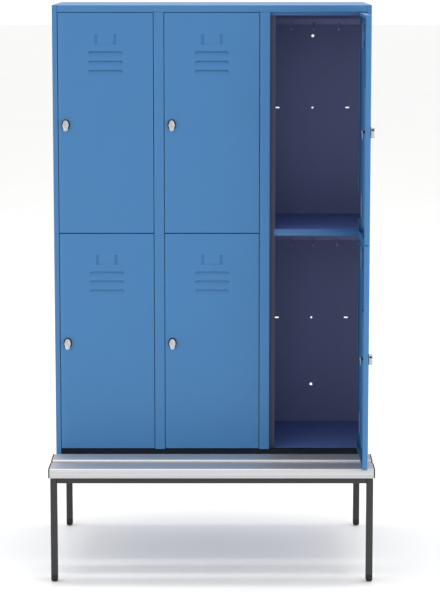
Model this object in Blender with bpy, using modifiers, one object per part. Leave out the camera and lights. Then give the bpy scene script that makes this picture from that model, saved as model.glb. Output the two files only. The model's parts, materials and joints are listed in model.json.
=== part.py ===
"""A steel school locker: three columns of two compartments, standing on a tube bench with a slatted seat.

Every sub-part is modelled with the cabinet's front face at Y = 0 and the floor at Z = 0, and the whole
locker is then carried by the empty "locker", which puts the origin under the middle of the object.
"""

import math

import bmesh
import bpy
from mathutils import Matrix, Vector

# Layout
COLUMNS = ("left", "middle", "right")
TIERS = ("lower", "upper")
OPEN_COLUMN = "right"  # these doors stand open
OPEN_ANGLE = math.radians(90)
SHEET = 0.001  # sheet steel of the cabinet
GAP = 0.0003  # between pieces that touch

# Cabinet
WIDTH = 1.190
DEPTH = 0.500
TOP = 2.118
BENCH_TOP = 0.398
BASE = BENCH_TOP + GAP  # underside of the cabinet
PITCH = WIDTH / len(COLUMNS)
FLOOR_TOP = 0.4304
PLINTH_TOP = 0.4325
PLINTH_SETBACK = 0.004
TOP_FLANGE = 0.016
BODY_FRONT = 0.0213  # where the panels meet the back of the face frame

# Face frame
STILE = 0.0376
POST = STILE / 2
FRAME_DEPTH = 0.021
STILE_LIP = 0.008
POST_LIP = 0.005
TOP_RAIL = 0.0256
STOP = 0.0225  # the plane that the closed doors' backs rest near
STOP_DROP = 0.0128
RAIL_LOW = 1.251
RAIL_HIGH = 1.276
RAIL_START = 0.0343
RAIL_TAB = (0.0180, 0.0142)  # its ends, measured from the line between two columns

# Partitions and shelves
WALL_FRONT = 0.0238
WALL_BACK = 0.4974
STRIKE = 0.0398
SHELF_FRONT = 0.0252
SHELF_WIDTH = 0.3945

# Doors: local frame with the hinge axis at x = 0, y = 0 and the door's lower edge at z = 0
DOOR_WIDTH = 0.3551
DOOR_HEIGHT = 0.826
DOOR_DEPTH = 0.0185
DOOR_LIP = 0.012
DOOR_BEND = 0.0015
DOOR_BOTTOM = {"lower": 0.4355, "upper": 1.2645}
DOOR_GAP = 0.0020  # between a door and the stile beside it
AXIS_INSET = 0.010  # hinge axis from the door's edge
AXIS_DEPTH = 0.0055  # hinge axis behind the door's face
FACE = -AXIS_DEPTH
FREE_EDGE = AXIS_INSET - DOOR_WIDTH
MIDDLE = AXIS_INSET - DOOR_WIDTH / 2
STIFFENER = 0.060
STIFFENER_DEPTH = 0.012
STIFFENER_SPAN = (0.045, 0.560)

# Hinges
HINGE_HEIGHTS = (0.100, DOOR_HEIGHT - 0.088)
HINGE_HALF = 0.0435
KNUCKLE_HALF = 0.021
KNUCKLE_SPACE = 0.0005
NOTCH_HALF = 0.045
KNUCKLE_RADIUS = 0.0046
KNUCKLE_BORE = 0.0030
BRACKET_RADIUS = 0.0040
PIN_RADIUS = 0.0025
BRACKET_PLATE = (0.0160, 0.0175)
BRACKET_REACH = 0.0285

# Card holder and louvres, measured down from the door's top edge
CARD_TOP = 0.0805
CARD_SIZE = (0.084, 0.037)
CARD_BARS = (0.012, 0.006)
CARD_PROUD = 0.0016
LOUVRE_TOPS = (0.144, 0.1785, 0.213)
LOUVRE_WIDTH = 0.135
LOUVRE_HEIGHT = 0.021
LOUVRE_ROUND = 0.012
LOUVRE_DEPTH = 0.0065
LOUVRE_SHALLOW = 0.0008  # how deep a louvre's back is at its lower edge
LOUVRE_SLIT = 0.0006

# Lock, on an axis through the door
LOCK_X = FREE_EDGE + 0.0275
LOCK_Z = DOOR_HEIGHT - 0.418
LOCK_HOLE = 0.0099
LOCK_BODY = 0.0095
ROSETTE_RADIUS = 0.016
ROSETTE = 0.0025
NUT_RADIUS = 0.014
NUT = 0.009
SPINDLE_RADIUS = 0.0038
SPINDLE_BORE = 0.0044
HANDLE_OUTLINE = (
    (-0.0055, -0.022),
    (0.0055, -0.022),
    (0.0125, 0.0),
    (0.007, 0.017),
    (-0.007, 0.017),
    (-0.0125, 0.0),
)
HANDLE_FRONT = FACE - 0.0165
HANDLE_BACK = FACE - 0.0035
PADLOCK_EYE = ((FACE - 0.0140, FACE - 0.0055), (0.0055, 0.0140))
CAM_DEPTH = (0.021, 0.023)
CAM_WIDTH = 0.008
CAM_REACH = 0.024
CAM_TOP = 0.005

# Ventilation holes in the back, measured from each compartment's middle and floor
VENT_ROW = 0.425
VENT_HIGH = {"lower": 0.152, "upper": 0.7092}
VENT_SLOT_X = 0.1387
VENT_SLOT = (0.016, 0.0056)
VENT_ROUND = 0.004
VENT_LARGE = 0.0055

# Hook rails
HOOK_RAIL_Z = {"lower": 1.196, "upper": 2.036}
HOOK_RAIL_Y = 0.310
HOOK_RAIL = (0.0015, 0.0225)
HOOK_RAIL_END = 0.018
HOOK_PLACES = (-0.0925, -0.004, 0.0925)
HOOK_WIDTH = 0.008
HOOK_STOCK = 0.0025
HOOK_BEND = 0.007
HOOK_DROP = 0.016
HOOK_TIP = 0.006
HOOK_ROOT = 0.006

# Bench
TUBE = 0.025
TUBE_WALL = 0.002
BENCH_FRONT = -0.296
FOOT_HEIGHT = 0.027
FOOT_ROUND = 0.007
FOOT_PLUG = 0.018
SLAT_FRONTS = (-0.318, -0.1775)
SLAT_DEPTH = 0.1025
SLAT_TOP = 0.433
SLAT_ROUND = 0.008
SLAT_WALL = 0.002
SEAT_WIDTH = 1.200
CAP = 0.0045
CAP_PROUD = 0.0005
CAP_PLUG = 0.010

ROUND_SIDES = 16
PIN_SIDES = 12

FINISHES = {
    # base colour, roughness, metallic
    "blue_paint": ((0.080, 0.230, 0.470, 1.0), 0.45, 0.0),
    "slate_paint": ((0.055, 0.060, 0.095, 1.0), 0.55, 0.0),
    "black_paint": ((0.012, 0.013, 0.015, 1.0), 0.50, 0.0),
    "graphite_paint": ((0.065, 0.065, 0.067, 1.0), 0.50, 0.0),
    "anodised_aluminium": ((0.700, 0.710, 0.730, 1.0), 0.35, 1.0),
    "black_plastic": ((0.020, 0.020, 0.021, 1.0), 0.55, 0.0),
    "zinc": ((0.620, 0.620, 0.610, 1.0), 0.30, 1.0),
}


# Modelling helpers

def start_scene():
    """Empties the scene and adds the collections for the parts and for the cutters."""
    for old in list(bpy.data.objects):
        bpy.data.objects.remove(old)
    for title in ("school_locker", "cutters"):
        bpy.context.scene.collection.children.link(bpy.data.collections.new(title))


def new_object(bm, name):
    """Makes an object of a bmesh, kept with the cutters until it is finished as a part."""
    mesh = bpy.data.meshes.new(name)
    bm.to_mesh(mesh)
    bm.free()
    obj = bpy.data.objects.new(name, mesh)
    obj.hide_render = True
    obj.display_type = "WIRE"
    bpy.data.collections["cutters"].objects.link(obj)
    return obj


def cube(low, high):
    """A bmesh box between two corners."""
    low = Vector(low)
    high = Vector(high)
    bm = bmesh.new()
    bmesh.ops.create_cube(bm, size=1)
    place = Matrix.Translation((low + high) / 2) @ Matrix.Diagonal((high - low).to_4d())
    bmesh.ops.transform(bm, matrix=place, verts=bm.verts)
    return bm


def box(low, high):
    return new_object(cube(low, high), "box")


def faces_towards(bm, direction):
    return [face for face in bm.faces if face.normal.dot(Vector(direction)) > 0.99]


def edges_at(bm, axis, value):
    """The edges whose two ends both have this coordinate."""
    return [edge for edge in bm.edges if all(abs(v.co[axis] - value) < 1e-6 for v in edge.verts)]


def rod(centre, axis, radius, length, sides):
    """A cylinder along a row axis, centred on a point."""
    bm = bmesh.new()
    bmesh.ops.create_cone(bm, cap_ends=True, segments=sides, radius1=radius, radius2=radius, depth=length)
    turn = Vector((0, 0, 1)).rotation_difference(Vector(axis)).to_matrix().to_4x4()
    bmesh.ops.transform(bm, matrix=Matrix.Translation(centre) @ turn, verts=bm.verts)
    return new_object(bm, "rod")


def plate(outline, axis, low, high):
    """A flat outline in the XZ plane (axis Y) or the YZ plane (axis X), extruded from low to high."""
    curve = bpy.data.curves.new("outline", "CURVE")
    curve.dimensions = "2D"
    curve.fill_mode = "BOTH"
    curve.extrude = (high - low) / 2
    spline = curve.splines.new("POLY")
    spline.points.add(len(outline) - 1)
    for point, (across, up) in zip(spline.points, outline):
        point.co = (across, up, 0, 1)
    spline.use_cyclic_u = True
    guide = bpy.data.objects.new("outline", curve)
    bpy.data.collections["cutters"].objects.link(guide)
    evaluated = guide.evaluated_get(bpy.context.evaluated_depsgraph_get())
    bm = bmesh.new()
    bm.from_mesh(bpy.data.meshes.new_from_object(evaluated))
    bpy.data.objects.remove(guide)
    bmesh.ops.remove_doubles(bm, verts=bm.verts, dist=1e-6)
    bmesh.ops.recalc_face_normals(bm, faces=bm.faces)
    middle = (low + high) / 2
    if axis == "Y":
        turn = Matrix(((1, 0, 0, 0), (0, 0, -1, middle), (0, 1, 0, 0), (0, 0, 0, 1)))
    else:
        turn = Matrix(((0, 0, 1, middle), (1, 0, 0, 0), (0, 1, 0, 0), (0, 0, 0, 1)))
    bmesh.ops.transform(bm, matrix=turn, verts=bm.verts)
    return new_object(bm, "plate")


def apply_modifiers(obj):
    evaluated = obj.evaluated_get(bpy.context.evaluated_depsgraph_get())
    mesh = bpy.data.meshes.new_from_object(evaluated)
    obj.modifiers.clear()
    obj.data = mesh


def combine(obj, others, operation):
    """Joins the other objects to this one, or cuts them from it, and removes them."""
    for other in others:
        boolean = obj.modifiers.new(operation.lower(), "BOOLEAN")
        boolean.operation = operation
        boolean.solver = "EXACT"
        boolean.object = other
        apply_modifiers(obj)
        bpy.data.objects.remove(other)
    return obj


def join(obj, *others):
    return combine(obj, others, "UNION")


def cut(obj, *others):
    return combine(obj, others, "DIFFERENCE")


def join_boxes(spans):
    """One body out of overlapping boxes, each given by its two corners."""
    return join(*[box(low, high) for low, high in spans])


def thicken(obj, wall=SHEET):
    """Gives an open surface its sheet thickness, on the inside."""
    solidify = obj.modifiers.new("sheet", "SOLIDIFY")
    solidify.thickness = wall
    solidify.offset = -1
    solidify.use_even_offset = True
    apply_modifiers(obj)
    return obj


def tray(low, high, opening):
    """A sheet metal box with the side facing this direction left open."""
    bm = cube(low, high)
    bmesh.ops.delete(bm, geom=faces_towards(bm, opening), context="FACES")
    return thicken(new_object(bm, "tray"))


def arc(centre, radius, start, end, steps):
    """Points on an arc between two angles in degrees."""
    angles = [math.radians(start + (end - start) * i / steps) for i in range(steps + 1)]
    return [(centre[0] + radius * math.cos(a), centre[1] + radius * math.sin(a)) for a in angles]


def finish_material(name):
    material = bpy.data.materials.get(name)
    if material is None:
        colour, roughness, metallic = FINISHES[name]
        material = bpy.data.materials.new(name)
        material.use_nodes = True
        shader = material.node_tree.nodes["Principled BSDF"]
        shader.inputs["Base Color"].default_value = colour
        shader.inputs["Roughness"].default_value = roughness
        shader.inputs["Metallic"].default_value = metallic
        material.diffuse_color = colour
    return material


def part(obj, name, finish, parent, location=(0, 0, 0), turn=0.0):
    """Names a finished piece, gives it its material and puts it in the locker."""
    obj.name = name
    obj.data.name = name
    obj.hide_render = False
    obj.display_type = "TEXTURED"
    obj.data.materials.clear()
    obj.data.materials.append(finish_material(finish))
    bpy.data.collections["cutters"].objects.unlink(obj)
    bpy.data.collections["school_locker"].objects.link(obj)
    obj.parent = parent
    obj.location = location
    obj.rotation_euler = (0, 0, turn)
    return obj


def copy_of(obj):
    """Another object on the same mesh."""
    twin = obj.copy()
    bpy.data.collections["cutters"].objects.link(twin)
    return twin


def smooth(obj):
    obj.data.shade_smooth()
    obj.data.set_sharp_from_angle(angle=math.radians(30))
    return obj


# Places

def column_line(index):
    """X of the line on the left of a column; index 3 is the right-hand side of the cabinet."""
    return -WIDTH / 2 + PITCH * index


def column_middle(index):
    return column_line(index) + PITCH / 2


def column_walls(index):
    """X of the inner faces of the two walls beside a column."""
    left = column_line(index) + (SHEET if index == 0 else SHEET / 2)
    right = column_line(index + 1) - (SHEET if index == len(COLUMNS) - 1 else SHEET / 2)
    return left, right


def hinge_axis(index):
    """X and Y of a column's hinge axis."""
    return column_line(index + 1) - STILE / 2 - DOOR_GAP - AXIS_INSET, AXIS_DEPTH


# Face frame

def stile_spans():
    """Left and right edge, lower end and back lip of the posts and stiles."""
    last = len(COLUMNS)
    for index in range(last + 1):
        line = column_line(index)
        left = line if index == 0 else line - STILE / 2
        right = line if index == last else line + STILE / 2
        outer = index in (0, last)
        low = BASE if outer else PLINTH_TOP + GAP
        yield left, right, low, POST_LIP if outer else STILE_LIP


def front_frame(parent):
    rail_low = TOP - TOP_RAIL
    half = WIDTH / 2
    bodies = [((-half, 0, rail_low), (half, FRAME_DEPTH, TOP))]
    hollows = [((-half + SHEET, SHEET, rail_low + SHEET), (half - SHEET, FRAME_DEPTH - SHEET, TOP - SHEET))]
    slots = []
    for left, right, low, lip in stile_spans():
        bodies.append(((left, 0, low), (right, FRAME_DEPTH, TOP)))
        hollow_low = (left + SHEET, SHEET, low - POST)
        hollows.append((hollow_low, (right - SHEET, FRAME_DEPTH - SHEET, TOP - SHEET)))
        slot_low = (left + lip, FRAME_DEPTH - 2 * SHEET, low - POST)
        slots.append((slot_low, (right - lip, FRAME_DEPTH + SHEET, rail_low - SHEET)))
    frame = join_boxes(bodies)
    cut(frame, join_boxes(hollows))
    cut(frame, *[box(low, high) for low, high in slots])
    ledge = half - POST
    stop_back = STOP + SHEET
    join(
        frame,
        join_boxes((
            ((-ledge, FRAME_DEPTH - SHEET / 2, rail_low), (ledge, stop_back, rail_low + SHEET)),
            ((-ledge, STOP, rail_low - STOP_DROP), (ledge, stop_back, rail_low + SHEET)),
        )),
    )
    for index in range(len(COLUMNS)):
        start = column_line(index) + RAIL_START
        line = column_line(index + 1)
        tab_start, tab_end = RAIL_TAB
        tab_front = FRAME_DEPTH - SHEET / 2
        join(
            frame,
            join_boxes((
                ((start, STOP, RAIL_LOW), (line - tab_end, stop_back, RAIL_HIGH)),
                ((line - tab_start, tab_front, RAIL_LOW), (line - tab_end, stop_back, RAIL_HIGH)),
            )),
        )
    part(frame, "front_frame", "blue_paint", parent)


# Carcass

def strike_span(index, top):
    """The strip that a door's free edge and lock cam work against, on the left of its column."""
    line = column_line(index)
    return (line, WALL_FRONT, FLOOR_TOP + GAP), (line + STRIKE, WALL_FRONT + SHEET, top)


def side_panels(parent):
    high = TOP - TOP_FLANGE - GAP
    half = WIDTH / 2
    wall_back = DEPTH - SHEET - GAP
    left = box((-half, BODY_FRONT, BASE), (-half + SHEET, wall_back, high))
    join(left, box(*strike_span(0, high)))
    part(left, "side_panel_left", "blue_paint", parent)
    right = box((half - SHEET, BODY_FRONT, BASE), (half, wall_back, high))
    part(right, "side_panel_right", "blue_paint", parent)


def partitions(parent):
    high = TOP - SHEET - GAP
    for index, side in ((1, "left"), (2, "right")):
        line = column_line(index)
        wall = box((line - SHEET / 2, WALL_FRONT, FLOOR_TOP + GAP), (line + SHEET / 2, WALL_BACK, high))
        join(wall, box(*strike_span(index, high)))
        part(wall, f"partition_{side}", "slate_paint", parent)


def vent_outline(middle, height):
    """A slot with round ends, lying along X."""
    length, width = VENT_SLOT
    reach = (length - width) / 2
    right = arc((middle + reach, height), width / 2, -90, 90, 4)
    left = arc((middle - reach, height), width / 2, 90, 270, 4)
    return right + left


def back_panel(parent):
    panel = box((-WIDTH / 2, DEPTH - SHEET, BASE), (WIDTH / 2, DEPTH, TOP))
    for index in range(len(COLUMNS)):
        middle = column_middle(index)
        for tier in TIERS:
            floor = FLOOR_TOP if tier == "lower" else RAIL_HIGH
            row = floor + VENT_ROW
            high = floor + VENT_HIGH[tier]
            through = DEPTH - WALL_BACK
            holes = [
                rod((middle, DEPTH, row), (0, 1, 0), VENT_ROUND, through, PIN_SIDES),
                rod((middle, DEPTH, high), (0, 1, 0), VENT_LARGE, through, PIN_SIDES),
            ]
            for offset in (-VENT_SLOT_X, VENT_SLOT_X):
                slot = vent_outline(middle + offset, row)
                holes.append(plate(slot, "Y", DEPTH - 2 * SHEET, DEPTH + SHEET))
            cut(panel, *holes)
    part(panel, "back_panel", "slate_paint", parent)


def top_and_base(parent):
    half = WIDTH / 2
    back = DEPTH - SHEET - GAP
    top = tray((-half, BODY_FRONT, TOP - TOP_FLANGE), (half, back, TOP), (0, 0, -1))
    part(top, "top_panel", "blue_paint", parent)
    inner = half - SHEET - GAP
    base = tray((-inner, BODY_FRONT, BASE), (inner, back, FLOOR_TOP), (0, 0, -1))
    part(base, "base_tray", "slate_paint", parent)
    reach = half - POST - 2 * GAP
    plinth = tray((-reach, PLINTH_SETBACK, BASE), (reach, FRAME_DEPTH - GAP, PLINTH_TOP), (0, 1, 0))
    part(plinth, "plinth_strip", "black_paint", parent)


def shelves(parent):
    for index, column in enumerate(COLUMNS):
        middle = sum(column_walls(index)) / 2
        low = (middle - SHELF_WIDTH / 2, SHELF_FRONT, RAIL_LOW)
        high = (middle + SHELF_WIDTH / 2, WALL_BACK, RAIL_HIGH)
        part(tray(low, high, (0, 0, -1)), f"shelf_{column}", "slate_paint", parent)


def hook_outline(root_y, root_z):
    """A J of flat bar: down from the rail, round, and up to its tip at the front."""
    half = HOOK_STOCK / 2
    low = root_z - HOOK_DROP
    centre = (root_y - HOOK_BEND, low)
    tip = low + HOOK_TIP
    outer = arc(centre, HOOK_BEND + half, 0, -180, 6)
    inner = arc(centre, HOOK_BEND - half, -180, 0, 6)
    far = root_y - 2 * HOOK_BEND
    ends = [(far - half, tip), (far + half, tip)]
    roots = [(root_y - half, root_z + HOOK_ROOT), (root_y + half, root_z + HOOK_ROOT)]
    return outer + ends + inner + roots


def hook_rails(parent):
    thick, tall = HOOK_RAIL
    for index, column in enumerate(COLUMNS):
        left, right = column_walls(index)
        for tier in TIERS:
            z = HOOK_RAIL_Z[tier]
            low = (left + GAP, HOOK_RAIL_Y, z)
            high = (right - GAP, HOOK_RAIL_Y + thick, z + tall)
            spans = [(low, high)]
            for end in (low[0], high[0] - thick):
                spans.append(((end, HOOK_RAIL_Y, z), (end + thick, HOOK_RAIL_Y + HOOK_RAIL_END, z + tall)))
            rail = join_boxes(spans)
            outline = hook_outline(HOOK_RAIL_Y + thick / 2, z)
            for place in HOOK_PLACES:
                start = column_middle(index) + place - HOOK_WIDTH / 2
                join(rail, plate(outline, "X", start, start + HOOK_WIDTH))
            part(rail, f"hook_rail_{tier}_{column}", "slate_paint", parent)


# Doors

def door_pan():
    """The door's folded sheet: face, four sides and the lips behind them."""
    bm = cube((FREE_EDGE, FACE, 0), (AXIS_INSET, FACE + DOOR_DEPTH, DOOR_HEIGHT))
    edges = edges_at(bm, 1, FACE)
    bmesh.ops.bevel(bm, geom=edges, offset=DOOR_BEND, segments=2, profile=0.5, affect="EDGES")
    back = faces_towards(bm, (0, 1, 0))
    bmesh.ops.inset_region(bm, faces=back, thickness=DOOR_LIP, use_even_offset=True)
    bmesh.ops.delete(bm, geom=back, context="FACES")
    return thicken(new_object(bm, "door"))


def louvre_outline(width, top, bottom):
    half = width / 2
    corner_z = top - LOUVRE_ROUND
    corner_x = half - LOUVRE_ROUND
    right = arc((MIDDLE + corner_x, corner_z), LOUVRE_ROUND, 0, 90, 4)
    left = arc((MIDDLE - corner_x, corner_z), LOUVRE_ROUND, 90, 180, 4)
    return [(MIDDLE - half, bottom), (MIDDLE + half, bottom)] + right + left


def louvre_wedge(width, top, bottom, front, shallow, deep):
    """A slab whose back slopes from shallow at the lower edge to deep at the upper edge."""
    wedge = plate(louvre_outline(width, top, bottom), "Y", front, deep)
    for vertex in wedge.data.vertices:
        if vertex.co.y > (front + deep) / 2:
            vertex.co.y = shallow + (deep - shallow) * (vertex.co.z - bottom) / (top - bottom)
    return wedge


def add_louvres(door):
    """Three hoods pressed into the sheet, each with a slit along its upper edge."""
    for depth_down in LOUVRE_TOPS:
        top = DOOR_HEIGHT - depth_down
        bottom = top - LOUVRE_HEIGHT
        inside = FACE + SHEET / 2
        shallow = FACE + LOUVRE_SHALLOW
        join(door, louvre_wedge(LOUVRE_WIDTH, top, bottom, inside, shallow, FACE + LOUVRE_DEPTH))
        width = LOUVRE_WIDTH - 2 * SHEET
        front = FACE - SHEET
        deep = FACE + LOUVRE_DEPTH - SHEET
        top += LOUVRE_SLIT
        bottom += SHEET
        cut(door, louvre_wedge(width, top, bottom, front, FACE - SHEET / 2, deep))


def add_card_holder(door):
    width, height = CARD_SIZE
    side, foot = CARD_BARS
    left = MIDDLE - width / 2
    right = MIDDLE + width / 2
    top = DOOR_HEIGHT - CARD_TOP
    bottom = top - height
    front = FACE - CARD_PROUD
    back = FACE + SHEET / 2
    holder = join_boxes((
        ((left, front, bottom), (left + side, back, top)),
        ((right - side, front, bottom), (right, back, top)),
        ((left, front, bottom), (right, back, bottom + foot)),
    ))
    join(door, holder)


def add_stiffener(door):
    """A hat-section channel behind the lower half of the sheet, open at both ends."""
    low, high = STIFFENER_SPAN
    half = STIFFENER / 2
    inside = FACE + SHEET
    channel = box((MIDDLE - half, inside - SHEET / 4, low), (MIDDLE + half, inside + STIFFENER_DEPTH, high))
    hollow_low = (MIDDLE - half + SHEET, inside + SHEET / 4, low - SHEET)
    hollow_high = (MIDDLE + half - SHEET, inside + STIFFENER_DEPTH - SHEET, high + SHEET)
    join(door, cut(channel, box(hollow_low, hollow_high)))


def add_knuckles(door):
    """Notches the hinge edge and welds the door's half of each hinge behind the face."""
    inside = FACE + SHEET
    for height in HINGE_HEIGHTS:
        notch_low = (-AXIS_DEPTH, inside + GAP, height - NOTCH_HALF)
        cut(door, box(notch_low, (AXIS_INSET + SHEET, FACE + DOOR_DEPTH + SHEET, height + NOTCH_HALF)))
        barrel = rod((0, 0, height), (0, 0, 1), KNUCKLE_RADIUS, 2 * KNUCKLE_HALF, PIN_SIDES)
        leaf_low = (-4 * KNUCKLE_RADIUS, inside - SHEET / 2, height - KNUCKLE_HALF)
        join(barrel, box(leaf_low, (0, inside + SHEET, height + KNUCKLE_HALF)))
        cut(barrel, rod((0, 0, height), (0, 0, 1), KNUCKLE_BORE, 3 * KNUCKLE_HALF, PIN_SIDES))
        join(door, barrel)


def door_body():
    door = door_pan()
    add_louvres(door)
    add_card_holder(door)
    add_stiffener(door)
    add_knuckles(door)
    cut(door, rod((LOCK_X, FACE, LOCK_Z), (0, 1, 0), LOCK_HOLE, DOOR_DEPTH / 2, ROUND_SIDES))
    return smooth(door)


def lock_housing():
    """Rosette in front of the sheet, neck through it, and nut behind, with the spindle's bore."""
    front = FACE - GAP - ROSETTE
    nut_start = FACE + SHEET + GAP
    end = nut_start + NUT
    along = (0, 1, 0)
    housing = rod((0, front + ROSETTE / 2, 0), along, ROSETTE_RADIUS, ROSETTE, ROUND_SIDES)
    join(
        housing,
        rod((0, (front + end) / 2, 0), along, LOCK_BODY, end - front - SHEET, ROUND_SIDES),
        rod((0, nut_start + NUT / 2, 0), along, NUT_RADIUS, NUT, 6),
    )
    cut(housing, rod((0, (front + end) / 2, 0), along, SPINDLE_BORE, 2 * (end - front), ROUND_SIDES))
    return smooth(housing)


def lock_handle():
    """Turning handle with a padlock eye, its spindle, and the cam behind the door."""
    handle = plate(HANDLE_OUTLINE, "Y", HANDLE_FRONT, HANDLE_BACK)
    bevel = handle.modifiers.new("edges", "BEVEL")
    bevel.width = SHEET
    bevel.segments = 1
    bevel.limit_method = "ANGLE"
    apply_modifiers(handle)
    (eye_front, eye_back), (eye_low, eye_high) = PADLOCK_EYE
    cut(handle, box((-CAM_REACH, eye_front, eye_low), (CAM_REACH, eye_back, eye_high)))
    start = HANDLE_BACK - SHEET
    end = CAM_DEPTH[1] + SHEET
    half = CAM_WIDTH / 2
    join(
        handle,
        rod((0, (start + end) / 2, 0), (0, 1, 0), SPINDLE_RADIUS, end - start, PIN_SIDES),
        box((-half, CAM_DEPTH[0], -CAM_REACH), (half, CAM_DEPTH[1], CAM_TOP)),
    )
    return handle


def hinge_bracket():
    """The cabinet's half of a hinge: two knuckles on a plate, with the pin through them."""
    length = HINGE_HALF - KNUCKLE_HALF - KNUCKLE_SPACE
    plate_front, plate_back = BRACKET_PLATE
    bracket = rod((0, 0, 0), (0, 0, 1), PIN_RADIUS, 2 * HINGE_HALF, PIN_SIDES)
    back_low = (-BRACKET_RADIUS, plate_front, -HINGE_HALF)
    join(bracket, *[
        rod((0, 0, side * (HINGE_HALF - length / 2)), (0, 0, 1), BRACKET_RADIUS, length, PIN_SIDES)
        for side in (-1, 1)
    ])
    arms = [(back_low, (BRACKET_REACH, plate_back, HINGE_HALF))]
    for low, high in ((-HINGE_HALF, -HINGE_HALF + length), (HINGE_HALF - length, HINGE_HALF)):
        arms.append(((-BRACKET_RADIUS + GAP, 0, low), (0, plate_back - GAP, high)))
    join(bracket, join_boxes(arms))
    return smooth(bracket)


def doors(parent):
    """The six doors, each with its lock and its two hinges."""
    door = door_body()
    housing = lock_housing()
    handle = lock_handle()
    bracket = hinge_bracket()
    for index, column in enumerate(COLUMNS):
        x, y = hinge_axis(index)
        turn = OPEN_ANGLE if column == OPEN_COLUMN else 0.0
        for tier in TIERS:
            place = f"{tier}_{column}"
            z = DOOR_BOTTOM[tier]
            leaf = part(copy_of(door), f"door_{place}", "blue_paint", parent, (x, y, z), turn)
            lock_place = (LOCK_X, 0, LOCK_Z)
            part(copy_of(housing), f"lock_housing_{place}", "black_plastic", leaf, lock_place)
            part(copy_of(handle), f"lock_handle_{place}", "zinc", leaf, lock_place)
            for level, height in zip(("bottom", "top"), HINGE_HEIGHTS):
                part(copy_of(bracket), f"hinge_{place}_{level}", "blue_paint", parent, (x, y, z + height))
    for pattern in (door, housing, handle, bracket):
        bpy.data.objects.remove(pattern)


# Bench

def tube_spans(inset):
    """Boxes along the bench frame's tubes, drawn in by the wall for the hollow."""
    half = WIDTH / 2
    low = BENCH_TOP - TUBE + inset
    high = BENCH_TOP - inset
    leg_low = FOOT_HEIGHT + GAP - (TUBE if inset else 0)
    rows = (BENCH_FRONT, 0.0, DEPTH - TUBE)
    spans = []
    for left in (-half, half - TUBE):
        right = left + TUBE - inset
        spans.append(((left + inset, BENCH_FRONT + inset, low), (right, DEPTH - inset, high)))
        for front in (rows[0], rows[-1]):
            leg_back = front + TUBE - inset
            spans.append(((left + inset, front + inset, leg_low), (right, leg_back, high)))
    for front in rows:
        spans.append(((-half + inset, front + inset, low), (half - inset, front + TUBE - inset, high)))
    return spans


def bench_frame(parent):
    """Four legs and their top rails, welded from square tube and hollow down to the feet."""
    frame = join_boxes(tube_spans(0))
    cut(frame, join_boxes(tube_spans(TUBE_WALL)))
    part(frame, "bench_frame", "graphite_paint", parent)


def feet(parent):
    half = WIDTH / 2
    plug = TUBE_WALL + GAP
    for side, left in (("left", -half), ("right", half - TUBE)):
        for end, front in (("front", BENCH_FRONT), ("rear", DEPTH - TUBE)):
            bm = cube((left, front, 0), (left + TUBE, front + TUBE, FOOT_HEIGHT))
            edges = edges_at(bm, 2, 0)
            bmesh.ops.bevel(bm, geom=edges, offset=FOOT_ROUND, segments=3, profile=0.5, affect="EDGES")
            foot = new_object(bm, "foot")
            low = (left + plug, front + plug, FOOT_HEIGHT - SHEET)
            join(foot, box(low, (left + TUBE - plug, front + TUBE - plug, FOOT_HEIGHT + FOOT_PLUG)))
            part(foot, f"foot_{end}_{side}", "black_plastic", parent)


def slat_bar(low, high, radius):
    """A bmesh box along X with its two upper long edges rounded."""
    bm = cube(low, high)
    long_edges = []
    for edge in edges_at(bm, 2, high[2]):
        if abs(edge.verts[0].co.x - edge.verts[1].co.x) > CAP / 2:
            long_edges.append(edge)
    bmesh.ops.bevel(bm, geom=long_edges, offset=radius, segments=4, profile=0.5, affect="EDGES")
    return bm


def seat(parent):
    """Two hollow slats, each closed by a cap at both ends."""
    half = SEAT_WIDTH / 2
    metal = half - CAP - GAP
    inner = SLAT_WALL + GAP
    for name, front in zip(("front", "rear"), SLAT_FRONTS):
        back = front + SLAT_DEPTH
        bm = slat_bar((-metal, front, BASE), (metal, back, SLAT_TOP), SLAT_ROUND)
        ends = faces_towards(bm, (1, 0, 0)) + faces_towards(bm, (-1, 0, 0))
        bmesh.ops.delete(bm, geom=ends, context="FACES")
        slat = thicken(new_object(bm, "slat"), SLAT_WALL)
        part(smooth(slat), f"seat_slat_{name}", "anodised_aluminium", parent)
        for side, outer in (("left", -half), ("right", half)):
            step = math.copysign(1, outer)
            face = sorted((outer, outer - step * CAP))
            low = (face[0], front - CAP_PROUD, BASE)
            high = (face[1], back + CAP_PROUD, SLAT_TOP + CAP_PROUD)
            cap = new_object(slat_bar(low, high, SLAT_ROUND), "cap")
            deep = sorted((outer - step * CAP / 2, outer - step * (CAP + CAP_PLUG)))
            plug_low = (deep[0], front + inner, BASE + inner)
            plug_high = (deep[1], back - inner, SLAT_TOP - inner)
            join(cap, new_object(slat_bar(plug_low, plug_high, SLAT_ROUND), "plug"))
            part(smooth(cap), f"slat_cap_{name}_{side}", "black_plastic", parent)


def main():
    start_scene()
    locker = bpy.data.objects.new("locker", None)
    bpy.data.collections["school_locker"].objects.link(locker)
    locker.location.y = -(AXIS_DEPTH + FREE_EDGE + DEPTH) / 2
    front_frame(locker)
    side_panels(locker)
    partitions(locker)
    back_panel(locker)
    top_and_base(locker)
    shelves(locker)
    hook_rails(locker)
    doors(locker)
    bench_frame(locker)
    feet(locker)
    seat(locker)


main()
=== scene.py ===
"""Looks for the school locker: detailed doors, locks, hinges, hooks, bench and seat around the CAD frame.

Lengths are in metres. X runs along the doors, Y from the doors to the back, and Z up."""

import json
import math

import bmesh
import bpy
from mathutils import Matrix, Vector


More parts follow.
